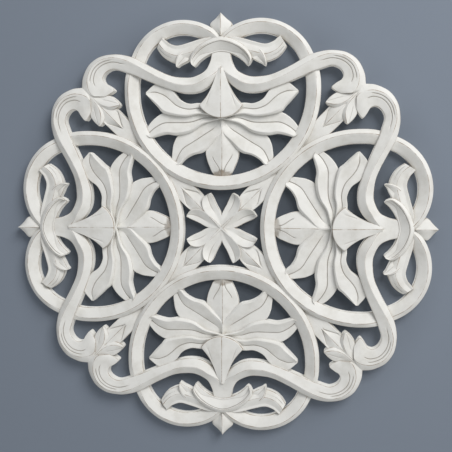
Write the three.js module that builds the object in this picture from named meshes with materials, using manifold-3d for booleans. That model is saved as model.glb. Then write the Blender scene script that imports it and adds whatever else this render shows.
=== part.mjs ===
// Openwork wall medallion carved from one board: four ringed lotus flowers around a small
// centre flower, tied together by eight S-scrolls, with a leaf spray in every outer lobe.
// Millimetres, +Z up. The flat back lies in the plane y = 0 and the carving faces -Y.
// The origin is the middle of the back.

import * as THREE from "three";
import { mergeVertices } from "three/addons/utils/BufferGeometryUtils.js";
import Module from "manifold-3d";

// Driving dimensions
const span = 610; // finial tip to finial tip
const gridSquares = 420; // squares of the drawing grid across the span
const gridSquare = span / gridSquares;
const quarters = 4; // the drawing repeats around the centre
const sawAllowance = 2; // left on the back until it is planed flat
const weld = 1e-4; // corners closer than this are one corner

// Sections across the strips, from left edge to right edge: [place across, height above the back]
const section = {
  ring: [[0, 10], [0.7, 18.5], [1, 13]],
  upperPetal: [[0, 13.6], [0.44, 13], [1, 16.5]],
  sidePetal: [[0, 9.5], [0.5, 9.3], [1, 14]],
  lowerPetal: [[0, 7.5], [0.5, 7.4], [1, 12]],
  middlePetal: [[0, 6.5], [0.5, 11], [1, 6.5]],
  arm: [[0, 15], [0.58, 17], [1, 11.5]],
  arch: [[0, 17], [0.28, 21.5], [1, 13.5]],
  curl: [[0, 18.3], [0.55, 15], [1, 14.5]],
  finial: [[0, 12], [0.5, 19], [1, 12]],
};
const petalRoot = { drop: 3, reach: 0.45 }; // petals rise from under the fan
const curlRoot = { drop: 3.5, reach: 0.4 }; // curls grow from under the arms

// The drawing of one quarter, in grid squares: x runs across the quarter and y outwards from the
// centre. A carved strip is drawn by rungs [left x, left y, right x, right y] from root to tip.
const ringDrawing = {
  centre: 135,
  radius: 90,
  width: 14.2,
  arc: [-190, 10], // degrees around the centre
  steps: 16,
  lobeCentre: [38, 149.5],
  lobeRadius: 48,
  lobeArc: [24, 140],
  lobeSteps: 7,
  crossing: [86, 161], // where a scroll passes over
  dip: 4, // millimetres that the ridge drops there
  dipReach: [6, 24],
};

// The scroll's ridge starts on the stem, runs along the middle of its band and moves to the outside
// of the hook.
const scrollDrawing = {
  rootHeight: 12.5,
  ridgeHeight: 22,
  edgeHeight: 14,
  hookEdgeHeight: 17,
  underDrop: 1.2, // the hook that tucks under its neighbour is this much lower
  stemRidge: 0.95,
  bandRidge: 0.5,
  hookRidge: 0.24,
  // shares of the length between which each change takes place
  rise: [0.07, 0.22],
  stemToBand: [0.1, 0.2],
  bandToHook: [0.3, 0.62],
  outerRise: [0.2, 0.5],
  innerRise: [0.15, 0.45],
  tuck: [0.6, 0.9],
  rungs: [
    [8.5, 178, -0.5, 178],
    [9.4, 170, -0.5, 168],
    [11.2, 162.5, -0.5, 157],
    [16, 154.5, 6.5, 144.2],
    [27, 149, 20, 134.4],
    [37, 148.3, 36, 132.8],
    [50, 150.2, 52, 137],
    [66, 157.2, 69, 143.3],
    [85, 167.5, 88, 151.5],
    [97, 171.3, 99, 155.3],
    [108, 172.2, 107.5, 157.5],
    [121, 169.8, 114.5, 154.6],
    [132, 162, 118, 149.5],
    [138.3, 150, 116.6, 144.3],
    [139.6, 140.5, 111.5, 141],
    [139.6, 137, 107, 137],
    [136, 133, 109.8, 134],
    [130, 131, 116, 130.6],
  ],
};

const fanDrawing = {
  root: 159, // just inside the stem where the scrolls part
  centre: 133.5,
  radius: 25,
  halfAngle: 60,
  stem: 0.45, // share of the spread that belongs to the stem
  start: 0.04, // blunt upper end
  edgeHeight: 19,
  ridgeHeight: 21.5,
  stemRoot: { drop: 3.5, reach: 0.6 }, // the stem lies lower than the fan
  columns: 6,
  rows: 3,
};

const flowerDrawing = {
  ridgeHeights: [13.5, 19.5], // the petals rise outwards from a low middle
  edgeHeights: [12.5, 10, 17], // middle, beside the gap, tip
  edgeDip: [0, 0.3], // shares of the length along which the edge falls and then rises
  edgeRise: [0.45, 1],
  rungs: [
    [-2, 0, 0, -2],
    [-0.1, 13, 11, 10],
    [4.8, 23, 17.6, 18],
    [8.2, 30.4, 19.2, 25.2],
    [10.4, 34, 17.6, 30.6],
    [11.5, 34.8, 13.2, 34],
  ],
};

const rungs = {
  upperPetal: [
    [8, 122, 10, 111],
    [22, 123.4, 22, 112.4],
    [32, 122.8, 34, 110.2],
    [41.3, 127, 47, 111.2],
    [48, 135.5, 58.5, 114],
    [57, 141, 63.5, 119.4],
    [65.3, 142.5, 69.4, 125.6],
    [75.6, 134.4, 75.2, 132.2],
  ],
  sidePetal: [
    [6, 116, -0.5, 108],
    [20, 116, 17, 103.4],
    [34, 116, 30, 95],
    [50, 116, 44.2, 91.8],
    [61, 113.2, 55.5, 93],
    [69.6, 107, 65, 91],
    [75.5, 99.5, 71, 89.5],
    [77, 95.5, 75, 92],
  ],
  lowerPetal: [
    [4, 114, -0.6, 110],
    [14, 110, -0.6, 95],
    [30, 101, 8, 85.2],
    [43.5, 92.5, 18, 75.6],
    [48.6, 83.8, 28.5, 72.6],
    [50, 76, 36.5, 68.2],
    [50.5, 70, 42, 62.6],
    [49, 66, 46, 63.6],
  ],
  middlePetal: [
    [2, 97, -2, 97],
    [15, 82, -15, 82],
    [16.6, 75, -16.6, 75],
    [15.6, 68.5, -15.6, 68.5],
    [13, 61.5, -13, 61.5],
    [9, 53.5, -9, 53.5],
    [4, 49, -4, 49],
  ],
  arm: [
    [0, 187.8, 0, 175],
    [16, 186.6, 16, 170],
    [31, 182.4, 31, 165],
    [43, 179.6, 44, 162.6],
    [51, 182, 54, 166],
    [54.6, 184.8, 60, 171.2],
    [57.6, 187.4, 64, 177.4],
  ],
  arch: [
    [0, 187.6, 0, 172.8],
    [9, 185.6, 8, 171.4],
    [18, 181.4, 15.3, 168],
    [25.5, 175.4, 21, 163.8],
    [30.6, 167, 24.5, 160],
    [28.6, 160.6, 26.4, 158.8],
  ],
  curl: [
    [36, 177, 27, 169],
    [41, 172.6, 30, 166],
    [44, 166.4, 35, 163],
    [44.6, 161.4, 39.8, 160.8],
    [43.9, 158.6, 42.4, 158.8],
  ],
  finial: [
    [-1.2, 188, 1.2, 188],
    [-9, 195, 9, 195],
    [-10.6, 200.2, 10.6, 200.2],
    [-5.5, 205, 5.5, 205],
    [-0.5, 210, 0.5, 210],
  ],
};

// Buds lie along the diagonal: [distance out, half width], both measured along x and along y.
// The inner one is a kite with a flat border, and the outer one sinks under the rings.
const innerBud = {
  rungs: [[17, 2], [24, 6.6], [37, 7.4], [62, 3]],
  borderHeight: 11.5,
  ridgeHeight: 15,
  kite: [0.1, 0.8], // the ridge falls to the border between these
};
const outerBud = {
  rungs: [[124, 6.6], [76, 6.8]],
  edgeHeights: [14, 8],
  ridgeRises: [3, 0.5],
};

// Two leaflets grow along the diagonal from the hooks' corner and part at the outer bud.
const leafletDrawing = {
  edgeHeights: [18.6, 14.5], // along the diagonal and beside the bud
  ridge: [0.22, 19],
  outerHeight: 15.5,
  parting: [0.18, 0.3], // shares of the length between which they part
  rungs: [
    [132.3, 131.7, 135, 140],
    [121.2, 120.8, 121, 133],
    [111.5, 117.2, 112.5, 132],
    [104, 119.6, 106, 128],
    [101.6, 122.2, 102, 123.5],
  ],
};

const mix = THREE.MathUtils.lerp;
const ease = THREE.MathUtils.smoothstep;
const radians = THREE.MathUtils.degToRad;

// A strip is { plan, sectionAt, rows }. plan(s, t) gives the place at s across and t along it.
function strip(plan, sectionAt, rows) {
  return { plan, sectionAt, rows };
}

// A strip between two smooth edges drawn through its rungs
function drawnStrip(drawing, sectionAt) {
  const left = new THREE.SplineCurve(drawing.map(([x, y]) => new THREE.Vector2(x, y)));
  const right = new THREE.SplineCurve(drawing.map(([, , x, y]) => new THREE.Vector2(x, y)));
  const plan = (s, t) => left.getPoint(t).lerp(right.getPoint(t), s);
  return strip(plan, sectionAt, drawing.length - 1);
}

const plainStrip = (name) => drawnStrip(rungs[name], () => section[name]);

// A section that rises from a sunken root to its full height at reach along the strip
const sunkRoot = (across, { drop, reach }) => (t) =>
  across.map(([s, top]) => [s, top - drop * (1 - ease(t, 0, reach))]);

const sunkStrip = (name, root) => drawnStrip(rungs[name], sunkRoot(section[name], root));

// A strip that runs right across the quarter, drawn from the middle to its right-hand end
function archedStrip(name) {
  const [, ...rest] = rungs[name];
  const leftHalf = rest.map(([a, b, c, d]) => [-a, b, -c, d]).reverse();
  return drawnStrip([...leftHalf, ...rungs[name]], () => section[name]);
}

// The same strip on the other side of a mirror line, turned so that its faces still point out
const overMiddle = (point) => new THREE.Vector2(-point.x, point.y);
const overDiagonal = (point) => new THREE.Vector2(point.y, point.x);
function mirrored({ plan, sectionAt, rows }, mirror) {
  const otherPlan = (s, t) => mirror(plan(1 - s, t));
  const otherSection = (t) => sectionAt(t).map(([s, top]) => [1 - s, top]).reverse();
  return strip(otherPlan, otherSection, rows);
}

const pair = (one, mirror) => [one, mirrored(one, mirror)];

// A ring with its two outer lobes: a circle that tightens into a lobe each side of the cusp
function ring() {
  const { centre, radius, width, arc, lobeCentre, lobeRadius, lobeArc } = ringDrawing;
  const points = [];
  const addArc = (x, y, size, [from, to], steps) => {
    for (let i = 0; i <= steps; i += 1) {
      const angle = radians(mix(from, to, i / steps));
      points.push(new THREE.Vector2(x + size * Math.cos(angle), y + size * Math.sin(angle)));
    }
  };
  const [lobeX, lobeY] = lobeCentre;
  const otherLobeArc = lobeArc.map((angle) => 180 - angle).reverse();
  addArc(-lobeX, lobeY, lobeRadius, otherLobeArc, ringDrawing.lobeSteps);
  addArc(0, centre, radius, arc, ringDrawing.steps);
  addArc(lobeX, lobeY, lobeRadius, lobeArc, ringDrawing.lobeSteps);
  const spine = new THREE.SplineCurve(points);
  const plan = (s, t) => {
    const middle = spine.getPoint(t);
    const heading = spine.getTangent(t);
    const offset = (s - 0.5) * width;
    return new THREE.Vector2(middle.x + heading.y * offset, middle.y - heading.x * offset);
  };
  const sectionAt = (t) => {
    const middle = spine.getPoint(t);
    const [x, y] = ringDrawing.crossing;
    const away = Math.hypot(Math.abs(middle.x) - x, middle.y - y);
    const dip = ringDrawing.dip * (1 - ease(away, ...ringDrawing.dipReach));
    const [inside, [place, ridge], outside] = section.ring;
    return [inside, [place, ridge - dip], outside];
  };
  return [strip(plan, sectionAt, points.length - 1)];
}

// The two scrolls of a quarter, of which one tucks its hook under the next quarter's
function scrolls() {
  const { rootHeight, ridgeHeight, edgeHeight, hookEdgeHeight } = scrollDrawing;
  const { stemRidge, bandRidge, hookRidge } = scrollDrawing;
  const { rise, stemToBand, bandToHook, outerRise, innerRise, tuck } = scrollDrawing;
  const scroll = (drop) => drawnStrip(scrollDrawing.rungs, (t) => {
    const hookTop = ridgeHeight - drop * ease(t, ...tuck);
    const ridge = mix(rootHeight, hookTop, ease(t, ...rise));
    const edge = mix(rootHeight, edgeHeight, ease(t, ...rise));
    const alongBand = mix(stemRidge, bandRidge, ease(t, ...stemToBand));
    return [
      [0, mix(edge, hookEdgeHeight, ease(t, ...outerRise))],
      [mix(alongBand, hookRidge, ease(t, ...bandToHook)), ridge],
      [1, mix(edge, hookEdgeHeight, ease(t, ...innerRise))],
    ];
  });
  return [scroll(0), mirrored(scroll(scrollDrawing.underDrop), overMiddle)];
}

// The fan that hangs from the scrolls over the lotus: a stem that flares to a round end
function fan() {
  const { root, centre, radius, halfAngle, stem, start, columns } = fanDrawing;
  const plan = (s, t) => {
    const angle = radians(mix(halfAngle, -halfAngle, s));
    const reach = mix(start, 1, t);
    const spread = stem * Math.sqrt(reach) + (1 - stem) * reach ** 3;
    const end = centre - radius * Math.cos(angle);
    return new THREE.Vector2(radius * Math.sin(angle) * spread, mix(root, end, reach));
  };
  const across = [];
  for (let i = 0; i <= columns; i += 1) {
    const s = i / columns;
    const rise = 1 - Math.abs(2 * s - 1);
    across.push([s, mix(fanDrawing.edgeHeight, fanDrawing.ridgeHeight, rise)]);
  }
  return strip(plan, sunkRoot(across, fanDrawing.stemRoot), fanDrawing.rows);
}

function lotus() {
  return [
    ...pair(sunkStrip("upperPetal", petalRoot), overMiddle),
    ...pair(sunkStrip("sidePetal", petalRoot), overMiddle),
    ...pair(sunkStrip("lowerPetal", petalRoot), overMiddle),
    plainStrip("middlePetal"),
    fan(),
  ];
}

// The spray in a lobe: waving arms, an arched leaf over them and a curled leaf tip each side
function spray() {
  const curl = sunkStrip("curl", curlRoot);
  return [archedStrip("arm"), archedStrip("arch"), ...pair(curl, overMiddle)];
}

// On the diagonal: buds each side of the rings' joint, leaflets outside, two flower petals inside
function buds() {
  const outward = innerBud.rungs.map(([out, half]) => [out - half, out + half, out + half, out - half]);
  const inward = outerBud.rungs.map(([out, half]) => [out + half, out - half, out - half, out + half]);
  const kite = (t) => {
    const { borderHeight, ridgeHeight } = innerBud;
    const ridge = mix(ridgeHeight, borderHeight, ease(t, ...innerBud.kite));
    return [[0, borderHeight], [0.5, ridge], [1, borderHeight]];
  };
  const sinking = (t) => {
    const edge = mix(...outerBud.edgeHeights, t);
    return [[0, edge], [0.5, edge + mix(...outerBud.ridgeRises, t)], [1, edge]];
  };
  return [drawnStrip(outward, kite), drawnStrip(inward, sinking)];
}

function leaflets() {
  const { edgeHeights, ridge, outerHeight, parting } = leafletDrawing;
  const leaflet = drawnStrip(leafletDrawing.rungs, (t) => [
    [0, mix(...edgeHeights, ease(t, ...parting))],
    ridge,
    [1, outerHeight],
  ]);
  return pair(leaflet, overDiagonal);
}

function flowerPetals() {
  const { ridgeHeights, edgeHeights, edgeDip, edgeRise } = flowerDrawing;
  const [middle, low, tip] = edgeHeights;
  const onePetal = drawnStrip(flowerDrawing.rungs, (t) => [
    [0, mix(mix(middle, low, ease(t, ...edgeDip)), tip, ease(t, ...edgeRise))],
    [1, mix(...ridgeHeights, t)],
  ]);
  return pair(onePetal, overDiagonal);
}

// The solid of a strip: a box whose top is carved to the section and whose plan is bent to shape
function carve({ plan, sectionAt, rows }) {
  const across = sectionAt(0).length - 1;
  const geometry = new THREE.BoxGeometry(1, 1, 1, across, rows, 1);
  const position = geometry.attributes.position;
  for (let i = 0; i < position.count; i += 1) {
    const t = position.getY(i) + 0.5;
    const station = Math.round((position.getX(i) + 0.5) * across);
    const [s, top] = sectionAt(t)[station];
    const point = plan(s, t).multiplyScalar(gridSquare);
    position.setXYZ(i, point.x, point.y, position.getZ(i) > 0 ? top : -sawAllowance);
  }
  return geometry;
}

// Joining: every strip of every quarter becomes one body
const wasm = await Module();
wasm.setup();

function toSolid(geometry) {
  geometry.deleteAttribute("normal");
  geometry.deleteAttribute("uv");
  const merged = mergeVertices(geometry, weld);
  const mesh = new wasm.Mesh({
    numProp: 3,
    vertProperties: new Float32Array(merged.attributes.position.array),
    triVerts: new Uint32Array(merged.index.array),
  });
  return new wasm.Manifold(mesh);
}

function toGeometry(solid) {
  const mesh = solid.getMesh();
  const geometry = new THREE.BufferGeometry();
  geometry.setAttribute("position", new THREE.BufferAttribute(mesh.vertProperties, 3));
  geometry.setIndex(new THREE.BufferAttribute(mesh.triVerts, 1));
  geometry.computeVertexNormals();
  return geometry;
}

const strips = [
  ...ring(),
  ...scrolls(),
  ...lotus(),
  ...spray(),
  plainStrip("finial"),
  ...buds(),
  ...leaflets(),
  ...flowerPetals(),
];
let panel = null;
for (let quarter = 0; quarter < quarters; quarter += 1) {
  const turn = (quarter * 2 * Math.PI) / quarters;
  for (const one of strips) {
    const solid = toSolid(carve(one).rotateZ(turn));
    panel = panel ? panel.add(solid) : solid;
  }
}

// The back is planed flat
const planed = new THREE.BoxGeometry(2 * span, 2 * span, 2 * sawAllowance);
panel = panel.subtract(toSolid(planed.translate(0, 0, -sawAllowance)));

// The board is carved lying on its back and then hung upright, carving to the front
const whitewash = new THREE.MeshStandardMaterial({ color: 0xdbdad4, roughness: 0.75, metalness: 0 });
const medallion = new THREE.Mesh(toGeometry(panel), whitewash);
medallion.name = "carved_panel";
medallion.rotation.x = Math.PI / 2;

const group = new THREE.Group();
group.add(medallion);

export default group;
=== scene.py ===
import math

import bmesh
import bpy
from mathutils import Matrix, Quaternion, Vector, noise


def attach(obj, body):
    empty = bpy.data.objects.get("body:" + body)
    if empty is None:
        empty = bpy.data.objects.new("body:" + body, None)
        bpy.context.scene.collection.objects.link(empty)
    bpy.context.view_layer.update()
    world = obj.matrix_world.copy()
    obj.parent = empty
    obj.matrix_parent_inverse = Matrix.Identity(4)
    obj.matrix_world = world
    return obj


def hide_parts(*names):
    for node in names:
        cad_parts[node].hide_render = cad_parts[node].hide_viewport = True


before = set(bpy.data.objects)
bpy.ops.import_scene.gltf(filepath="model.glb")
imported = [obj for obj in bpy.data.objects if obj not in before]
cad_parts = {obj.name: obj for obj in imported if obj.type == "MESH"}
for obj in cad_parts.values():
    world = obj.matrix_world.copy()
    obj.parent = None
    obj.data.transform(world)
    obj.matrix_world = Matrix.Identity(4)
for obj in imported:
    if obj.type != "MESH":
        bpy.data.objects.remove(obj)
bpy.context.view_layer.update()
print("frame loaded")

millimetre = 0.001

# the board and the drawing grid that the whole ornament is set out on
board = {
    "span": 0.610,            # finial tip to finial tip
    "squares": 420,           # squares of the drawing grid across the span
    "quarters": 4,            # the drawing repeats around the centre
    "sawAllowance": 0.002,    # wood left on the back until it is planed
    "backClear": 0.002,       # no carving or wobble this close to the back
}
square = board["span"] / board["squares"]

# how the carver's tools leave the surface
carving = {
    "stroke": 0.0030,         # spacing of the points on a carved face
    "fewestRows": 4,          # along a strip, however short
    "lengthSamples": 40,      # steps by which a strip's length is measured
    "shoulder": 0.0012,       # reach of the rubbing beside an edge or ridge
    "edgeRoll": 0.0009,       # a rubbed edge drops by this much
    "cornerDrop": 2.4,        # its very corner by this many times as much
    "cornerWear": 0.3,        # where less wash is rubbed off
    "lipPlace": 0.2,          # the lip beside the corner, as a share of the shoulder
    "lipDrop": 0.7,           # share of the edge's drop there
    "endLip": 0.3,            # the same lip at the end of a strip
    "endLipDrop": 0.3,        # share of the corner's drop there
    "endWear": 3,             # rubbing of an end, times its drop, up to full
    "ridgeRub": 0.0003,       # a rubbed ridge drops by this much
    "cutReach": 0.0010,       # half the width of an incised line
    "cutDepth": 0.0011,
    "grooveLine": 0.35,       # how dark the bottom of a groove is
    "elbowRoom": 0.4,         # share of the gap to the next ridge or cut that the tool may use
    "fullWidth": 0.008,       # narrower strips are rubbed and cut less
    "softWear": 0.6,          # a rounded leaf is rubbed less along its edges
    "softFall": 1,            # and rounded where it falls by more than this, millimetres
    "fade": 0.12,             # share of a cut that fades at each end
    "creaseAngle": 28,        # degrees, above which an edge stays crisp
    "weld": 0.00002,          # points closer than this are one point
    "bareWear": 0.7,          # rubbing where a worn end shows the wood
    "bareLine": 0.85,         # and how grey the rest of it is
    "bareDrop": 0.0009,       # depth lost there
    "bareSlant": 0.14,        # the worn end reaches further up in the middle
    "bareFade": 0.03,         # share of the length over which it starts
}
neverBare = 2                 # past the end of every strip


# small sums

def mix(low, high, share):
    return low + (high - low) * share


def ease(value, low, high):
    share = min(max((value - low) / (high - low), 0), 1)
    return share * share * (3 - 2 * share)


def curvePoint(points, share):
    # a smooth line through the points, with even steps from one to the next
    last = len(points) - 1
    knot = min(int(share * last), last - 1)
    step = share * last - knot
    nearby = [points[min(max(knot + k, 0), last)] for k in (-1, 0, 1, 2)]
    before, start, end, after = map(Vector, nearby)
    leave = start + (end - before) / 6
    arrive = end - (after - start) / 6
    rest = 1 - step
    first = start * rest**3 + leave * 3 * rest**2 * step
    return first + arrive * 3 * rest * step**2 + end * step**3


# carved strips: plan(s, t) places a point s across and t along, section(t) lists (place, height)
# in millimetres and, for a groove that shows as a line, how dark that line is

def carvedStrip(plan, section, soft=False, cuts=(), rolls=(False, True), bareFrom=neverBare):
    return {
        "plan": plan, "section": section,
        "soft": soft,             # rounded like a leaf, without crisp ridges
        "cuts": cuts,             # incised lines
        "rolls": rolls,           # whether the root and the tip are rubbed
        "bareFrom": bareFrom,     # where along it the wash is worn off
    }


def drawnStrip(rungs, section, **finish):
    left = [rung[:2] for rung in rungs]
    right = [rung[2:] for rung in rungs]

    def plan(s, t):
        return curvePoint(left, t).lerp(curvePoint(right, t), s)

    if not callable(section):
        return carvedStrip(plan, lambda t: section, **finish)
    return carvedStrip(plan, section, **finish)


def archedStrip(rungs, section, **finish):
    # drawn from the middle to its right-hand end, and mirrored to the left
    leftHalf = [(-a, b, -c, d) for a, b, c, d in reversed(rungs[1:])]
    return drawnStrip(leftHalf + rungs, section, rolls=(True, True), **finish)


def stripWidth(strip, t):
    return (strip["plan"](1, t) - strip["plan"](0, t)).length * square


def topAt(strip, t, place):
    section = strip["section"](t)
    for (start, low, *_), (end, high, *_) in zip(section, section[1:]):
        if place <= end:
            break
    share = min(max((place - start) / (end - start), 0), 1)
    if strip["soft"] and low - high > carving["softFall"]:
        share = 1 - math.cos(share * math.pi / 2)
    return mix(low, high, share) * millimetre


def cutAt(cut, t):
    # where an incised line lies across the strip, and how deep it is there
    path = cut["path"]
    for (start, low), (end, high) in zip(path, path[1:]):
        if t <= end:
            break
    place = mix(low, high, ease(t, start, end))
    first, final = path[0][0], path[-1][0]
    run = (final - first) * carving["fade"]
    depth = ease(t, first, first + run) * (1 - ease(t, final - run, final))
    return place, depth * cut.get("depth", 1)


def stationsAt(strip, t):
    # the edges, ridges, grooves and incised lines across the strip, from left to right
    section = strip["section"](t)
    stations = [(0, "left", 0), (1, "right", 0)]
    if not strip["soft"]:
        for before, (place, top, *line), after in zip(section, section[1:], section[2:]):
            kind = "ridge" if top > max(before[1], after[1]) else "groove"
            stations.append((place, kind, line[0] if line else carving["grooveLine"]))
    for cut in strip["cuts"]:
        place, depth = cutAt(cut, t)
        stations.append((place, "cut", depth))
    return sorted(stations)


def layColumns(strip, t, fills):
    # three columns (place, drop, wear, cut) on every station and plain ones between
    width = max(stripWidth(strip, t), carving["shoulder"])
    slim = min(width / carving["fullWidth"], 1)
    roll = carving["edgeRoll"] * slim
    rub = carving["ridgeRub"] * slim
    corner = -carving["cornerDrop"] * roll, carving["cornerWear"], 0
    lip = -carving["lipDrop"] * roll, carving["softWear"] if strip["soft"] else 1, 0
    stations = stationsAt(strip, t)
    places = [station[0] for station in stations]
    gaps = [right - left for left, right in zip(places, places[1:])]
    columns = []
    spans = []
    for k, (place, kind, line) in enumerate(stations):
        nominal = carving["cutReach" if kind == "cut" else "shoulder"] / width
        reach = min(nominal, carving["elbowRoom"] * min(gaps[max(k - 1, 0):k + 1]))
        lipPlace = carving["lipPlace"] * reach
        if kind == "left":
            group = [(0, *corner), (lipPlace, *lip), (reach, 0, 0, 0)]
        elif kind == "right":
            group = [(1 - reach, 0, 0, 0), (1 - lipPlace, *lip), (1, *corner)]
        elif kind == "ridge":
            group = [(place - reach, 0, 0, 0), (place, -rub, 1, 0), (place + reach, 0, 0, 0)]
        elif kind == "groove":
            group = [(place - reach, 0, 0, 0), (place, 0, 0, line), (place + reach, 0, 0, 0)]
        else:
            deep = carving["cutDepth"] * slim * line
            group = [(place - reach, 0, 0, 0), (place, -deep, 0, line), (place + reach, 0, 0, 0)]
        if columns:
            start = columns[-1][0]
            gap = group[0][0] - start
            spans.append(gap * width)
            count = fills[k - 1] if fills else 0
            columns += [(start + gap * (j + 1) / (count + 1), 0, 0, 0) for j in range(count)]
        columns += group
    laid = [(place, topAt(strip, t, place) + drop, *marks) for place, drop, *marks in columns]
    return laid, spans


def layRows(strip):
    # (place along, share of the end's drop)
    samples = carving["lengthSamples"]
    length = 0
    for edge in (0, 1):
        run = [strip["plan"](edge, k / samples) for k in range(samples + 1)]
        length = max(length, sum((b - a).length for a, b in zip(run, run[1:])) * square)
    count = max(round(length / carving["stroke"]), carving["fewestRows"])
    rows = [(k / count, 0) for k in range(count + 1)]
    shoulder = carving["shoulder"] / length
    lip = shoulder * carving["endLip"]
    drop = carving["endLipDrop"]
    if strip["rolls"][0]:
        rows[:1] = [(0, 1), (lip, drop), (shoulder, 0)]
    if strip["rolls"][1]:
        rows[-1:] = [(1 - shoulder, 0), (1 - lip, drop), (1, 1)]
    return rows


def carve(name, strip):
    # a unit grid is extruded, and its points are moved to the strip's columns and rows
    rows = layRows(strip)
    spansOfRows = [layColumns(strip, t, None)[1] for t, _ in rows]
    fills = [max(round(max(spans) / carving["stroke"]) - 1, 0) for spans in zip(*spansOfRows)]
    table = [layColumns(strip, t, fills)[0] for t, _ in rows]
    across = len(table[0]) - 1
    along = len(rows) - 1
    bm = bmesh.new()
    marks = bm.loops.layers.uv.new("marks")
    column = bm.verts.layers.int.new("column")
    row = bm.verts.layers.int.new("row")
    bmesh.ops.create_grid(bm, x_segments=across, y_segments=along, size=0.5)
    for vert in bm.verts:
        vert[column] = round((vert.co.x + 0.5) * across)
        vert[row] = round((vert.co.y + 0.5) * along)
        place = table[vert[row]][vert[column]][0]
        spot = strip["plan"](place, rows[vert[row]][0]) * square
        vert.co = (spot.x, spot.y, -board["sawAllowance"])
    raised = bmesh.ops.extrude_face_region(bm, geom=bm.faces[:], use_keep_orig=True)["geom"]

    def bareness(place, t):
        start = strip["bareFrom"] + carving["bareSlant"] * abs(place - 0.5)
        return ease(t, start, start + carving["bareFade"])

    for vert in raised:
        if isinstance(vert, bmesh.types.BMVert):
            t, endRoll = rows[vert[row]]
            place, top, *_ = table[vert[row]][vert[column]]
            rolled = endRoll * carving["cornerDrop"] * carving["edgeRoll"]
            lost = rolled + bareness(place, t) * carving["bareDrop"]
            vert.co.z = top - lost
    for face in raised:
        if isinstance(face, bmesh.types.BMFace):
            for loop in face.loops:
                place, top, wear, cut = table[loop.vert[row]][loop.vert[column]]
                t, endRoll = rows[loop.vert[row]]
                bare = bareness(place, t)
                endWear = min(endRoll * carving["endWear"], 1)
                rubbed = max(wear, endWear, bare * carving["bareWear"])
                loop[marks].uv = (rubbed, max(cut, bare * carving["bareLine"]))
    bm.verts.layers.int.remove(column)
    bm.verts.layers.int.remove(bm.verts.layers.int["row"])
    bmesh.ops.recalc_face_normals(bm, faces=bm.faces[:])
    mesh = bpy.data.meshes.new(name)
    bm.to_mesh(mesh)
    bm.free()
    return linked(name, mesh)


def linked(name, mesh):
    piece = bpy.data.objects.new(name, mesh)
    bpy.context.scene.collection.objects.link(piece)
    return piece


upright = Matrix.Rotation(math.pi / 2, 4, "X")
overMiddle = Matrix.Scale(-1, 4, (1, 0, 0))
overDiagonal = Matrix(((0, 1, 0, 0), (1, 0, 0, 0), (0, 0, 1, 0), (0, 0, 0, 1)))


def mirrored(piece, mirror):
    mesh = piece.data.copy()
    mesh.transform(mirror)
    mesh.flip_normals()
    return linked(piece.name + "Mirrored", mesh)


def pair(piece, mirror):
    return [piece, mirrored(piece, mirror)]


def combine(name, first, others, operation):
    # one Boolean takes all the others at once, then the loose pieces are cleared away
    group = bpy.data.collections.new(name)
    for other in others:
        group.objects.link(other)
    boolean = first.modifiers.new(name, "BOOLEAN")
    boolean.operation = operation
    boolean.solver = "MANIFOLD"
    boolean.operand_type = "COLLECTION"
    boolean.collection = group
    bpy.context.view_layer.update()
    depsgraph = bpy.context.evaluated_depsgraph_get()
    mesh = bpy.data.meshes.new_from_object(first.evaluated_get(depsgraph))
    for piece in [first, *others]:
        bpy.data.objects.remove(piece)
    bpy.data.collections.remove(group)
    print(name, len(mesh.vertices), "points", len(mesh.polygons), "faces")
    return linked(name, mesh)


# ring with two outer lobes: a circle that tightens into a lobe each side of the cusp
ringDrawing = {
    "centre": 135,
    "radius": 90,
    "width": 14.2,
    "arc": (-190, 10),        # degrees around the centre
    "steps": 20,
    "lobeCentre": (38, 149.5),
    "lobeRadius": 48,
    "lobeArc": (24, 140),
    "lobeSteps": 7,
    "section": [(0, 10), (0.7, 18.5), (1, 13)],
    "crossing": (86, 161),    # where a scroll passes over
    "dip": 4,                 # millimetres that the ridge drops there
    "dipReach": (6, 24),
    "seam": [(0.575, 0.93), (0.675, 0.93)],      # a dark line where the next ring is joined
    "nudge": 0.0001,          # steps each way by which the band's heading is found
}


def ring():
    spine = []

    def addArc(x, y, radius, arc, steps):
        for k in range(steps + 1):
            angle = math.radians(mix(*arc, k / steps))
            spine.append((x + radius * math.cos(angle), y + radius * math.sin(angle)))

    lobeX, lobeY = ringDrawing["lobeCentre"]
    start, end = ringDrawing["lobeArc"]
    lobe = ringDrawing["lobeRadius"], (180 - end, 180 - start), ringDrawing["lobeSteps"]
    addArc(-lobeX, lobeY, *lobe)
    addArc(0, *(ringDrawing[key] for key in ("centre", "radius", "arc", "steps")))
    addArc(lobeX, lobeY, lobe[0], (start, end), lobe[2])
    nudge = ringDrawing["nudge"]

    def plan(s, t):
        ahead = curvePoint(spine, min(t + nudge, 1))
        behind = curvePoint(spine, max(t - nudge, 0))
        heading = (ahead - behind).normalized()
        offset = (s - 0.5) * ringDrawing["width"]
        return curvePoint(spine, t) + Vector((heading.y, -heading.x)) * offset

    def section(t):
        middle = curvePoint(spine, t)
        x, y = ringDrawing["crossing"]
        away = math.hypot(abs(middle.x) - x, middle.y - y)
        dip = ringDrawing["dip"] * (1 - ease(away, *ringDrawing["dipReach"]))
        inside, (place, ridge), outside = ringDrawing["section"]
        return [inside, (place, ridge - dip), outside]

    seam = {"path": ringDrawing["seam"]}
    return [carve("ring", carvedStrip(plan, section, cuts=[seam], rolls=(False, False)))]


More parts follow.
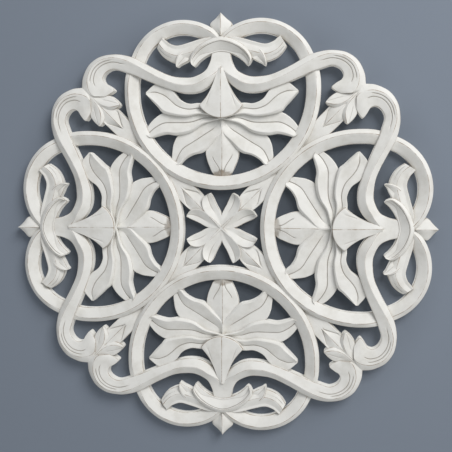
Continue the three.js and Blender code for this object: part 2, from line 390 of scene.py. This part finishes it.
# S-scroll from the stem to the hook; its ridge moves to the outside of the hook
scrollDrawing = {
    "rootHeight": 12.5,
    "ridgeHeight": 22,
    "edgeHeight": 14,
    "hookEdgeHeight": 17,
    "underDrop": 1.2,         # the hook that tucks under its neighbour is this much lower
    "ridgePlace": (0.95, 0.5, 0.24),   # on the stem, along the band, round the hook
    # shares of the length between which each change takes place
    "rise": (0.07, 0.22),
    "stemToBand": (0.1, 0.2),
    "bandToHook": (0.3, 0.62),
    "outerRise": (0.2, 0.5),
    "innerRise": (0.15, 0.45),
    "tuck": (0.6, 0.9),
    "hookLines": [
        [(0.5, 0.56), (0.62, 0.54), (0.84, 0.5)],
        [(0.58, 0.4), (0.7, 0.38), (0.8, 0.36)],
    ],
    "rungs": [
        (8.5, 178, -0.5, 178), (9.4, 170, -0.5, 168), (11.2, 162.5, -0.5, 157),
        (16, 154.5, 6.5, 144.2), (27, 149, 20, 134.4), (37, 148.3, 36, 132.8),
        (50, 150.2, 52, 137), (66, 157.2, 69, 143.3), (85, 167.5, 88, 151.5),
        (97, 171.3, 99, 155.3), (108, 172.2, 107.5, 157.5), (121, 169.8, 114.5, 154.6),
        (132, 162, 118, 149.5), (138.3, 150, 116.6, 144.3), (139.6, 140.5, 111.5, 141),
        (139.6, 137, 107, 137), (136, 133, 109.8, 134), (130, 131, 116, 130.6),
    ],
}


def scrolls():
    root, hookEdge = scrollDrawing["rootHeight"], scrollDrawing["hookEdgeHeight"]
    stem, band, hook = scrollDrawing["ridgePlace"]

    def scroll(drop):
        def section(t):
            def change(name):
                return ease(t, *scrollDrawing[name])

            top = scrollDrawing["ridgeHeight"] - drop * change("tuck")
            ridge = mix(root, top, change("rise"))
            edge = mix(root, scrollDrawing["edgeHeight"], change("rise"))
            place = mix(mix(stem, band, change("stemToBand")), hook, change("bandToHook"))
            outer = mix(edge, hookEdge, change("outerRise"))
            inner = mix(edge, hookEdge, change("innerRise"))
            return [(0, outer), (place, ridge), (1, inner)]

        lines = [{"path": path} for path in scrollDrawing["hookLines"]]
        return carve("scroll", drawnStrip(scrollDrawing["rungs"], section, cuts=lines))

    under = scroll(scrollDrawing["underDrop"])
    under.data.transform(overMiddle)
    under.data.flip_normals()
    return [scroll(0), under]


# lotus: three petals each side, a middle petal below and a fan above
# a side petal is folded along its vein; its heights are of the upper edge, fold, rim and lower edge
petalDrawings = {
    "upperPetal": {
        "heights": (13.6, 13, 17, 13.5),
        "vein": [(0.06, 0.5), (0.3, 0.44), (0.62, 0.38), (0.97, 0.52)],
        "rungs": [
            (8, 122, 10, 111), (22, 123.4, 22, 112.4), (32, 122.8, 34, 110.2),
            (41.3, 127, 47, 111.2), (48, 135.5, 58.5, 114), (57, 141, 63.5, 119.4),
            (65.3, 142.5, 69.4, 125.6), (75.6, 134.4, 75.2, 132.2),
        ],
    },
    "sidePetal": {
        "heights": (9.5, 9.3, 14.5, 11),
        "vein": [(0.08, 0.6), (0.55, 0.46), (0.95, 0.5)],
        "rungs": [
            (6, 116, -0.5, 108), (20, 116, 17, 103.4), (34, 116, 30, 95),
            (50, 116, 44.2, 91.8), (61, 113.2, 55.5, 93), (69.6, 107, 65, 91),
            (75.5, 99.5, 71, 89.5), (77, 95.5, 75, 92),
        ],
    },
    "lowerPetal": {
        "heights": (7.5, 7.4, 12.5, 9),
        "vein": [(0.12, 0.58), (0.6, 0.46), (0.95, 0.5)],
        "rungs": [
            (4, 114, -0.6, 110), (14, 110, -0.6, 95), (30, 101, 8, 85.2),
            (43.5, 92.5, 18, 75.6), (48.6, 83.8, 28.5, 72.6), (50, 76, 36.5, 68.2),
            (50.5, 70, 42, 62.6), (49, 66, 46, 63.6),
        ],
    },
}
petalRoot = {"drop": 3, "reach": 0.45}             # petals rise from under the fan
petalRim = {"place": 0.89, "from": (0.1, 0.25)}    # and their rims stand free further out
middlePetalDrawing = {
    "section": [(0, 6.5), (0.5, 11), (1, 6.5)],
    "folds": [[(0.36, 0.2), (0.82, 0.42)], [(0.42, 0.8), (0.82, 0.58)]],
    "bareFrom": 0.71,         # the tip is rubbed to the wood
    "rungs": [
        (2, 97, -2, 97), (15, 82, -15, 82), (16.6, 75, -16.6, 75),
        (15.6, 68.5, -15.6, 68.5), (13, 61.5, -13, 61.5), (9, 53.5, -9, 53.5), (4, 49, -4, 49),
    ],
}
fanDrawing = {
    "root": 159,              # just inside the stem where the scrolls part
    "centre": 133.5,
    "radius": 25,
    "halfAngle": 60,
    "stem": 0.45,             # share of the spread that belongs to the stem
    "start": 0.04,            # blunt upper end
    "section": [(0, 19), (0.5, 21.5), (1, 19)],
    "rootDrop": 3.5,          # millimetres that the stem lies lower than the fan
    "rootReach": 0.6,
    "lines": [[(0.62, 0.06), (0.92, 0.12)], [(0.62, 0.94), (0.92, 0.88)]],
    "lineDepth": 0.6,         # share of a full cut
}


def sunkRoot(section, drop, reach):
    # the section rises from its root to full height at reach along the strip
    def rising(t):
        sunk = drop * (1 - ease(t, 0, reach))
        return [(place, top - sunk, *line) for place, top, *line in section]

    return rising


def fan():
    def plan(s, t):
        angle = math.radians(mix(fanDrawing["halfAngle"], -fanDrawing["halfAngle"], s))
        reach = mix(fanDrawing["start"], 1, t)
        spread = fanDrawing["stem"] * math.sqrt(reach) + (1 - fanDrawing["stem"]) * reach**3
        end = fanDrawing["centre"] - fanDrawing["radius"] * math.cos(angle)
        across = fanDrawing["radius"] * math.sin(angle) * spread
        return Vector((across, mix(fanDrawing["root"], end, reach)))

    section = sunkRoot(fanDrawing["section"], fanDrawing["rootDrop"], fanDrawing["rootReach"])
    lines = [{"path": path, "depth": fanDrawing["lineDepth"]} for path in fanDrawing["lines"]]
    return carve("fan", carvedStrip(plan, section, cuts=lines))


def lotus():
    def sidePetal(name, drawing):
        vein = {"path": drawing["vein"]}

        def section(t):
            drop = petalRoot["drop"] * (1 - ease(t, 0, petalRoot["reach"]))
            upper, fold, rim, lower = drawing["heights"]
            free = mix(rim, lower, ease(t, *petalRim["from"]))
            sides = (0, upper), (cutAt(vein, t)[0], fold), (petalRim["place"], rim), (1, free)
            return [(place, height - drop) for place, height in sides]

        return carve(name, drawnStrip(drawing["rungs"], section, soft=True, cuts=[vein]))

    strips = []
    for name, drawing in petalDrawings.items():
        strips += pair(sidePetal(name, drawing), overMiddle)
    folds = [{"path": path} for path in middlePetalDrawing["folds"]]
    middle = drawnStrip(middlePetalDrawing["rungs"], middlePetalDrawing["section"], cuts=folds,
                        bareFrom=middlePetalDrawing["bareFrom"])
    return [*strips, carve("middlePetal", middle), fan()]


# spray in a lobe: waving arms, a hollowed arching leaf over them and a curled leaf tip each side
hollow = {
    "rim": [(0, 17), (0.28, 21.5)],
    "foldPlaces": (0.88, 0.62),        # in the middle of the arch and at its ends
    "foldHeights": (13.6, 15),
    "edgeHeight": 13.5,
    "foldLine": 0.6,
    "change": (0.1, 0.3),     # shares of the length from the middle
}


def hollowArch(t):
    # a raised rim, then a hollow that is widest in the middle of the arch
    change = ease(abs(t - 0.5), *hollow["change"])
    place = mix(*hollow["foldPlaces"], change)
    height = mix(*hollow["foldHeights"], change)
    return [*hollow["rim"], (place, height, hollow["foldLine"]), (1, hollow["edgeHeight"])]


sprayDrawings = {
    "arm": {
        "section": [(0, 15.5), (0.2, 14.5), (0.58, 17), (1, 11.5)],
        "lines": [[(0.03, 0.8), (0.28, 0.76)], [(0.72, 0.76), (0.97, 0.8)]],
        "rungs": [
            (0, 187.8, 0, 175), (16, 186.6, 16, 170), (31, 182.4, 31, 165),
            (43, 179.6, 44, 162.6), (51, 182, 54, 166), (54.6, 184.8, 60, 171.2),
            (57.6, 187.4, 64, 177.4),
        ],
    },
    "arch": {
        "section": hollowArch,
        "lines": [[(0.05, 0.4), (0.5, 0.34), (0.95, 0.4)]],
        "rungs": [
            (0, 187.6, 0, 172.8), (9, 185.6, 8, 171.4), (18, 181.4, 15.3, 168),
            (25.5, 175.4, 21, 163.8), (30.6, 167, 24.5, 160), (28.6, 160.6, 26.4, 158.8),
        ],
    },
}
curlDrawing = {
    "section": [(0, 17.5), (0.14, 18.5), (0.55, 15, 0.7), (1, 14.5)],
    "rootDrop": 3.5,          # it grows from under the arm
    "rootReach": 0.4,
    "rungs": [
        (36, 177, 27, 169), (41, 172.6, 30, 166), (44, 166.4, 35, 163),
        (44.6, 161.4, 39.8, 160.8), (43.9, 158.6, 42.4, 158.8),
    ],
}


def spray():
    strips = []
    for name, drawing in sprayDrawings.items():
        cuts = [{"path": path} for path in drawing["lines"]]
        strips.append(carve(name, archedStrip(drawing["rungs"], drawing["section"], cuts=cuts)))
    section = sunkRoot(curlDrawing["section"], curlDrawing["rootDrop"], curlDrawing["rootReach"])
    curl = carve("curl", drawnStrip(curlDrawing["rungs"], section))
    return [*strips, *pair(curl, overMiddle)]


# kite-shaped finial in the cusp between the lobes
finialDrawing = {
    "section": [(0, 12), (0.5, 19), (1, 12)],
    "rungs": [
        (-1.2, 188, 1.2, 188), (-9, 195, 9, 195), (-10.6, 200.2, 10.6, 200.2),
        (-5.5, 205, 5.5, 205), (-0.5, 210, 0.5, 210),
    ],
}


def finial():
    return [carve("finial", drawnStrip(finialDrawing["rungs"], finialDrawing["section"]))]


# on the diagonal: buds each side of the rings' joint, leaflets outside, two flower petals inside
innerBudDrawing = {
    "rungs": [(17, 2), (24, 6.6), (37, 7.4), (50, 6.6), (62, 3)],      # distance out, half width
    "borderHeights": (11.5, 11.5),
    "ridgeHeights": (15.2, 13.4),      # at the flower and at the kite's point
    "grooveDepth": 1.8,
    "chevron": (0.36, 0.52),  # the border's arms meet the sides and then each other
    "armPlaces": (0.1, 0.46),
    "lip": 0.06,              # width of the cut's outer slope
    "recess": (0.8, 0.9),     # where the border steps down to the rings' joint
    "recessDepth": 0.5,
}
outerBudDrawing = {
    "rungs": [(124, 6.6), (112, 6.8), (100, 6.8), (88, 6.8), (76, 6.8)],
    "borderHeights": (14, 10.5),
    "ridgeHeights": (17, 14.8),        # at the leaflets and at the kite's point
    "grooveDepth": 1.8,
    "chevron": (0.3, 0.48),
    "armPlaces": (0.1, 0.46),
    "lip": 0.06,
    "recess": (0.52, 0.85),
    "recessDepth": 2,
}
leafletDrawing = {
    "edgeHeights": (18.6, 14.5),       # along the diagonal and beside the bud
    "ridge": (0.22, 19),
    "outerHeight": 15.5,
    "parting": (0.18, 0.3),   # where along them the two leaflets part
    "line": [(0.25, 0.64), (0.92, 0.54)],
    "lineDepth": 0.6,         # share of a full cut
    "rungs": [
        (132.3, 131.7, 135, 140), (121.2, 120.8, 121, 133), (111.5, 117.2, 112.5, 132),
        (104, 119.6, 106, 128), (101.6, 122.2, 102, 123.5),
    ],
}
flowerDrawing = {
    "ridgeHeights": (13.5, 19.5),      # the petals rise outwards from a low middle
    "edgeHeights": (12.5, 10, 17),     # middle, beside the gap, tip
    "edgeDip": (0, 0.3),      # shares of the length along which the edge falls and then rises
    "edgeRise": (0.45, 1),
    "veinPlace": 0.42,
    "veinDepth": 0.8,         # each petal is creased along its vein
    "veinDeepens": (0.05, 0.4),
    "veinLine": 0.9,
    "veinDarkens": (0.15, 0.4),
    "rungs": [
        (-2, 0, 0, -2), (-0.1, 13, 11, 10), (4.8, 23, 17.6, 18), (8.2, 30.4, 19.2, 25.2),
        (10.4, 34, 17.6, 30.6), (11.5, 34.8, 13.2, 34),
    ],
}


# the cut round a kite, in shares of the bud's length
kiteCut = {
    "fadeIn": 0.05,           # before its arms leave the sides
    "fadeOut": 0.02,          # past its point
    "pointFall": (-0.01, 0.03),        # the ridge falls to the border between these, from the point
}


def kiteSection(drawing):
    # a raised kite with its point towards the rings' joint, in a border cut round it
    start, apex = drawing["chevron"]
    fallStart, fallEnd = (apex + share for share in kiteCut["pointFall"])

    def section(t):
        recess = drawing["recessDepth"] * ease(t, *drawing["recess"])
        border = mix(*drawing["borderHeights"], t) - recess
        arm = mix(*drawing["armPlaces"], min(max((t - start) / (apex - start), 0), 1))
        fadedOut = ease(t, apex, apex + kiteCut["fadeOut"])
        line = ease(t, start - kiteCut["fadeIn"], start) * (1 - fadedOut)
        crest = mix(*drawing["ridgeHeights"], min(t / apex, 1))
        ridge = mix(crest, border, ease(t, fallStart, fallEnd))
        groove = (arm, border - drawing["grooveDepth"] * line, line)
        half = [(0, border), (arm - drawing["lip"], border, 0), groove]
        otherHalf = [(1 - place, *rest) for place, *rest in reversed(half)]
        return [*half, (0.5, ridge), *otherHalf]

    return section


def buds():
    def bud(name, drawing, outward):
        rungs = []
        for out, half in drawing["rungs"]:
            left, right = (out - half, out + half), (out + half, out - half)
            rungs.append((*left, *right) if outward else (*right, *left))
        return carve(name, drawnStrip(rungs, kiteSection(drawing)))

    return [bud("innerBud", innerBudDrawing, True), bud("outerBud", outerBudDrawing, False)]


def leaflets():
    def section(t):
        edge = mix(*leafletDrawing["edgeHeights"], ease(t, *leafletDrawing["parting"]))
        return [(0, edge), leafletDrawing["ridge"], (1, leafletDrawing["outerHeight"])]

    line = {"path": leafletDrawing["line"], "depth": leafletDrawing["lineDepth"]}
    leaflet = drawnStrip(leafletDrawing["rungs"], section, cuts=[line])
    return pair(carve("leaflet", leaflet), overDiagonal)


def flowerPetals():
    middle, low, tip = flowerDrawing["edgeHeights"]
    vein = flowerDrawing["veinPlace"]

    def section(t):
        dipped = mix(middle, low, ease(t, *flowerDrawing["edgeDip"]))
        edge = mix(dipped, tip, ease(t, *flowerDrawing["edgeRise"]))
        ridge = mix(*flowerDrawing["ridgeHeights"], t)
        trough = edge - flowerDrawing["veinDepth"] * ease(t, *flowerDrawing["veinDeepens"])
        line = flowerDrawing["veinLine"] * ease(t, *flowerDrawing["veinDarkens"])
        return [(0, edge), (vein, trough, line), (1, ridge)]

    petal = drawnStrip(flowerDrawing["rungs"], section)
    return pair(carve("flowerPetal", petal), overDiagonal)


# hand work: slow wander of the outline, waver of the faces, so no two quarters are alike
handWork = {
    "seed": 9,       # unset, Blender seeds the vector noise from the clock
    "wander": 0.0011, "wanderLength": 0.11,      # sideways, and how long one swing is
    "waver": 0.00045, "waverLength": 0.030,      # up and down
    "ripple": 0.00016, "rippleLength": 0.009,    # single strokes of the gouge
}


def handCarved(mesh):
    noise.seed_set(handWork["seed"])
    for vert in mesh.vertices:
        spot = vert.co.copy()
        flat = Vector((spot.x, spot.y, 0))
        drift = noise.noise_vector(flat / handWork["wanderLength"]) * handWork["wander"]
        vert.co.x += drift.x
        vert.co.y += drift.y
        if spot.z > board["backClear"]:
            waver = noise.noise(flat / handWork["waverLength"]) * handWork["waver"]
            ripple = noise.noise(flat / handWork["rippleLength"]) * handWork["ripple"]
            vert.co.z += waver + ripple


def crisped(mesh):
    bm = bmesh.new()
    bm.from_mesh(mesh)
    bmesh.ops.remove_doubles(bm, verts=bm.verts[:], dist=carving["weld"])
    limit = math.radians(carving["creaseAngle"])
    for face in bm.faces:
        face.smooth = True
    for edge in bm.edges:
        edge.smooth = edge.calc_face_angle(0) < limit
    loose = sum(not edge.is_manifold for edge in bm.edges)
    triangles = sum(len(face.verts) - 2 for face in bm.faces)
    print("carved panel", triangles, "triangles,", loose, "open edges")
    bm.to_mesh(mesh)
    bm.free()


def carvePanel():
    strips = ring() + scrolls() + lotus() + spray() + finial()
    strips += buds() + leaflets() + flowerPetals()
    quarter = combine("quarter", strips[0], strips[1:], "UNION")
    copies = []
    for turn in range(1, board["quarters"]):
        mesh = quarter.data.copy()
        mesh.transform(Matrix.Rotation(turn * 2 * math.pi / board["quarters"], 4, "Z"))
        copies.append(linked("quarterTurned", mesh))
    whole = combine("whole", quarter, copies, "UNION")
    wide, thick = 2 * board["span"], 2 * board["sawAllowance"]     # what the plane takes off
    bm = bmesh.new()
    bmesh.ops.create_cube(bm, size=1)
    bmesh.ops.scale(bm, vec=(wide, wide, thick), verts=bm.verts[:])
    bmesh.ops.translate(bm, vec=(0, 0, -board["sawAllowance"]), verts=bm.verts[:])
    bm.loops.layers.uv.new("marks")
    slab = bpy.data.meshes.new("planed")
    bm.to_mesh(slab)
    bm.free()
    planed = combine("carvedPanel", whole, [linked("planed", slab)], "DIFFERENCE")
    handCarved(planed.data)
    crisped(planed.data)
    planed.data.transform(upright)       # carving to the front
    return planed


# materials

def linear(code):
    # an sRGB hex value as linear red, green, blue and alpha
    channels = [int(code[k:k + 2], 16) / 255 for k in (1, 3, 5)]
    return [c / 12.92 if c <= 0.04045 else ((c + 0.055) / 1.055) ** 2.4 for c in channels] + [1]


def addNode(tree, kind, inputs=(), **settings):
    node = tree.nodes.new(kind)
    for name, value in settings.items():
        setattr(node, name, value)
    for socket, value in dict(inputs).items():
        if isinstance(value, bpy.types.NodeSocket):
            tree.links.new(value, node.inputs[socket])
        else:
            node.inputs[socket].default_value = value
    return node


colourA, colourB, colourOut = 6, 7, 2        # sockets of a Mix node that mixes colours


def newMaterial(name):
    material = bpy.data.materials.new(name)
    material.use_nodes = True
    material.node_tree.nodes.clear()
    return material, material.node_tree


# whitewashed mahogany: thin matte limewash over brown wood, rubbed through on ridges and edges,
# with dust and painted shade darkening its corners
whitewash = {
    "wash": "#F0EFEB",
    "thinWash": "#E3E1DB",
    "wood": "#8F775B",
    "cutLine": "#8F867A",
    "dustAndShade": "#A5A098",
    "patch": 0.022,           # size of the thin and thick places, metres
    "patchDetail": (6, 0.6),  # octaves of the noise and their roughness
    "thinRange": (0.45, 0.72),         # noise values between which the wash gets thin
    "crevice": 0.006,         # reach of the dust and painted shade in the corners
    "dustAndShadeRange": (0.78, 0.2),          # openness between which a corner gets dust and painted shade
    "dustAndShadeMost": 0.62,
    "rubPatch": 0.016,        # size of a rubbed stretch
    "rubDetail": (5, 0.65),
    "rubRange": (0.31, 0.5),  # rubbing between which the wood comes through
    "rubMost": 0.85,
    "lineRange": (0.2, 0.9),  # darkness of a line between which the dirt in it shows
    "lineMost": 0.58,
    "grain": (0.0022, 0.05),  # width and length of a grain streak
    "grainDetail": 3,
    "pore": 0.0016,           # brush and pore texture, drawn coarse enough to show
    "poreDetail": 2,
    "textureStrength": 0.3,
    "textureDepth": 0.0004,
    "roughness": 0.78,
    "specular": 0.3,
}


def limewash():
    material, tree = newMaterial("whitewashed_mahogany")
    place = addNode(tree, "ShaderNodeTexCoord").outputs["Object"]
    marks = addNode(tree, "ShaderNodeUVMap", uv_map="marks").outputs["UV"]
    mark = addNode(tree, "ShaderNodeSeparateXYZ", {"Vector": marks}).outputs

    detail, roughness = whitewash["patchDetail"]
    patch = addNode(tree, "ShaderNodeTexNoise", {
        "Vector": place, "Scale": 1 / whitewash["patch"],
        "Detail": detail, "Roughness": roughness,
    }).outputs["Fac"]
    low, high = whitewash["thinRange"]
    thinness = addNode(tree, "ShaderNodeMapRange", {
        "Value": patch, "From Min": low, "From Max": high,
    }).outputs[0]
    washed = addNode(tree, "ShaderNodeMix", {
        "Factor": thinness,
        colourA: linear(whitewash["wash"]), colourB: linear(whitewash["thinWash"]),
    }, data_type="RGBA").outputs[colourOut]

    # dust and painted shade: where ambient occlusion finds a corner closed in, the colour darkens
    # towards grey, partly dust and partly shade painted into the colour
    corner = addNode(tree, "ShaderNodeAmbientOcclusion", {
        "Distance": whitewash["crevice"],
    }, only_local=True, samples=8).outputs["AO"]
    low, high = whitewash["dustAndShadeRange"]
    dustAndShade = addNode(tree, "ShaderNodeMapRange", {
        "Value": corner, "From Min": low, "From Max": high, "To Max": whitewash["dustAndShadeMost"],
    }).outputs[0]
    dustyAndShaded = addNode(tree, "ShaderNodeMix", {
        "Factor": dustAndShade, colourA: washed, colourB: linear(whitewash["dustAndShade"]),
    }, data_type="RGBA").outputs[colourOut]

    detail, roughness = whitewash["rubDetail"]
    stretch = addNode(tree, "ShaderNodeTexNoise", {
        "Vector": place, "Scale": 1 / whitewash["rubPatch"],
        "Detail": detail, "Roughness": roughness,
    }).outputs["Fac"]
    rubbing = addNode(tree, "ShaderNodeMath", {
        0: mark["X"], 1: stretch,
    }, operation="MULTIPLY").outputs[0]
    low, high = whitewash["rubRange"]
    rubbed = addNode(tree, "ShaderNodeMapRange", {
        "Value": rubbing, "From Min": low, "From Max": high, "To Max": whitewash["rubMost"],
    }).outputs[0]
    worn = addNode(tree, "ShaderNodeMix", {
        "Factor": rubbed, colourA: dustyAndShaded, colourB: linear(whitewash["wood"]),
    }, data_type="RGBA").outputs[colourOut]

    low, high = whitewash["lineRange"]
    scored = addNode(tree, "ShaderNodeMapRange", {
        "Value": mark["Y"], "From Min": low, "From Max": high, "To Max": whitewash["lineMost"],
    }).outputs[0]
    coloured = addNode(tree, "ShaderNodeMix", {
        "Factor": scored, colourA: worn, colourB: linear(whitewash["cutLine"]),
    }, data_type="RGBA").outputs[colourOut]

    wide, long = whitewash["grain"]
    along = addNode(tree, "ShaderNodeMapping", {
        "Vector": place, "Scale": (1 / wide, 1 / wide, 1 / long),
    }).outputs["Vector"]
    grain = addNode(tree, "ShaderNodeTexNoise", {
        "Vector": along, "Scale": 1, "Detail": whitewash["grainDetail"],
    }).outputs["Fac"]
    pores = addNode(tree, "ShaderNodeTexNoise", {
        "Vector": place, "Scale": 1 / whitewash["pore"], "Detail": whitewash["poreDetail"],
    }).outputs["Fac"]
    texture = addNode(tree, "ShaderNodeMath", {0: pores, 1: grain}, operation="ADD").outputs[0]
    bump = addNode(tree, "ShaderNodeBump", {
        "Height": texture,
        "Strength": whitewash["textureStrength"], "Distance": whitewash["textureDepth"],
    }).outputs["Normal"]
    surface = addNode(tree, "ShaderNodeBsdfPrincipled", {
        "Base Color": coloured, "Roughness": whitewash["roughness"], "Normal": bump,
        "Specular IOR Level": whitewash["specular"],
    }).outputs[0]
    addNode(tree, "ShaderNodeOutputMaterial", {"Surface": surface})
    return material


panelPiece = carvePanel()
panelPiece.name = "carved_wood_panel"
panelPiece.data.materials.clear()
panelPiece.data.materials.append(limewash())
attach(panelPiece, "root")
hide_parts("carved_panel")
print("panel carved and whitewashed")

# plain stage: a wall close behind with a painted shadow round the carving, seen from the front
# only, and a pale floor below
stage = {
    "wallGap": 0.0008,
    "wallSize": 4.0,
    "wallColour": "#858E9B",
    "wallShade": "#51575F",   # painted shadow, as in the close shade behind the carving
    "shadeReach": (0.19, 0.345),
    "floorDrop": 1.1,
    "floorSize": 8.0,
    "floorColour": "#D9D8D4",
    "floorRoughness": 0.9,
}


def plate(name, size, matrix):
    bm = bmesh.new()
    bmesh.ops.create_grid(bm, x_segments=1, y_segments=1, size=size / 2)
    bmesh.ops.transform(bm, matrix=matrix, verts=bm.verts[:])
    mesh = bpy.data.meshes.new(name)
    bm.to_mesh(mesh)
    bm.free()
    return linked(name, mesh)


# plain matt floor, pale and without pattern
def floorPaint():
    material, tree = newMaterial("pale_floor")
    surface = addNode(tree, "ShaderNodeBsdfPrincipled", {
        "Base Color": linear(stage["floorColour"]), "Roughness": stage["floorRoughness"],
    }).outputs[0]
    addNode(tree, "ShaderNodeOutputMaterial", {"Surface": surface})
    return material


# matt wall paint with a painted shadow: darker near the carving's middle, fading to the plain
# colour further out, and clear from behind
def wallPaint():
    material, tree = newMaterial("matt_wall_paint")
    place = addNode(tree, "ShaderNodeTexCoord").outputs["Object"]
    away = addNode(tree, "ShaderNodeVectorMath", {0: place}, operation="LENGTH").outputs["Value"]
    # painted shadow: the wall's colour darkens within this reach of the panel's middle
    near, far = stage["shadeReach"]
    lit = addNode(tree, "ShaderNodeMapRange", {
        "Value": away, "From Min": near, "From Max": far,
    }, interpolation_type="SMOOTHSTEP").outputs[0]
    tone = addNode(tree, "ShaderNodeMix", {
        "Factor": lit, colourA: linear(stage["wallShade"]), colourB: linear(stage["wallColour"]),
    }, data_type="RGBA").outputs[colourOut]
    front = addNode(tree, "ShaderNodeBsdfDiffuse", {"Color": tone}).outputs[0]
    clear = addNode(tree, "ShaderNodeBsdfTransparent").outputs[0]
    behind = addNode(tree, "ShaderNodeNewGeometry").outputs["Backfacing"]
    either = addNode(tree, "ShaderNodeMixShader", {0: behind, 1: front, 2: clear}).outputs[0]
    addNode(tree, "ShaderNodeOutputMaterial", {"Surface": either})
    return material


wall = plate("wall", stage["wallSize"], Matrix.Translation((0, stage["wallGap"], 0)) @ upright)
wall.data.materials.append(wallPaint())
wall.visible_shadow = False       # light from behind still reaches the panel's back
wall.visible_diffuse = False
floor = plate("floor", stage["floorSize"], Matrix.Translation((0, 0, -stage["floorDrop"])))
floor.data.materials.append(floorPaint())

# soft studio light: a large lamp up on the right, weak fill from the room
lights = {
    "key": {"at": (1.25, -1.7, 1.5), "size": 1.3, "watts": 48, "colour": (1, 0.985, 0.96)},
    "back": {"at": (-0.8, 2.2, 0.9), "size": 1.6, "watts": 22, "colour": (1, 1, 1)},
}
roomLight = {"colour": "#E8EDF4", "strength": 0.36}
for name, values in lights.items():
    lamp = bpy.data.lights.new(name, "AREA")
    lamp.size = values["size"]
    lamp.energy = values["watts"]
    lamp.color = values["colour"]
    holder = bpy.data.objects.new(name, lamp)
    holder.location = values["at"]
    holder.rotation_euler = (-Vector(values["at"])).to_track_quat("-Z", "Y").to_euler()
    bpy.context.scene.collection.objects.link(holder)
world = bpy.data.worlds.new("room")
world.use_nodes = True
background = world.node_tree.nodes["Background"].inputs
background["Color"].default_value = linear(roomLight["colour"])
background["Strength"].default_value = roomLight["strength"]
bpy.context.scene.world = world
bpy.context.scene.view_settings.view_transform = "Standard"

# camera a little right of and above the panel's middle, as in the photograph
viewpoint = {
    "azimuth": 7.16, "elevation": 5.11, "roll": -0.21,    # degrees
    "distance": 1.167,
    "aim": (0.0045, 0, 0.0020),
    "focalPixels": 800, "imagePixels": 452,
    "sensor": 36,             # millimetres across
}
azimuth, elevation = math.radians(viewpoint["azimuth"]), math.radians(viewpoint["elevation"])
level = math.cos(elevation)
back = Vector((math.sin(azimuth) * level, -math.cos(azimuth) * level, math.sin(elevation)))
cameraData = bpy.data.cameras.new("camera")
cameraData.sensor_width = viewpoint["sensor"]
cameraData.lens = viewpoint["focalPixels"] / viewpoint["imagePixels"] * cameraData.sensor_width
camera = bpy.data.objects.new("camera", cameraData)
camera.location = Vector(viewpoint["aim"]) + back * viewpoint["distance"]
camera.rotation_mode = "QUATERNION"
rollTurn = Quaternion((0, 0, 1), math.radians(viewpoint["roll"]))
camera.rotation_quaternion = (-back).to_track_quat("-Z", "Y") @ rollTurn
bpy.context.scene.collection.objects.link(camera)
bpy.context.scene.camera = camera
print("stage, lights and camera set")
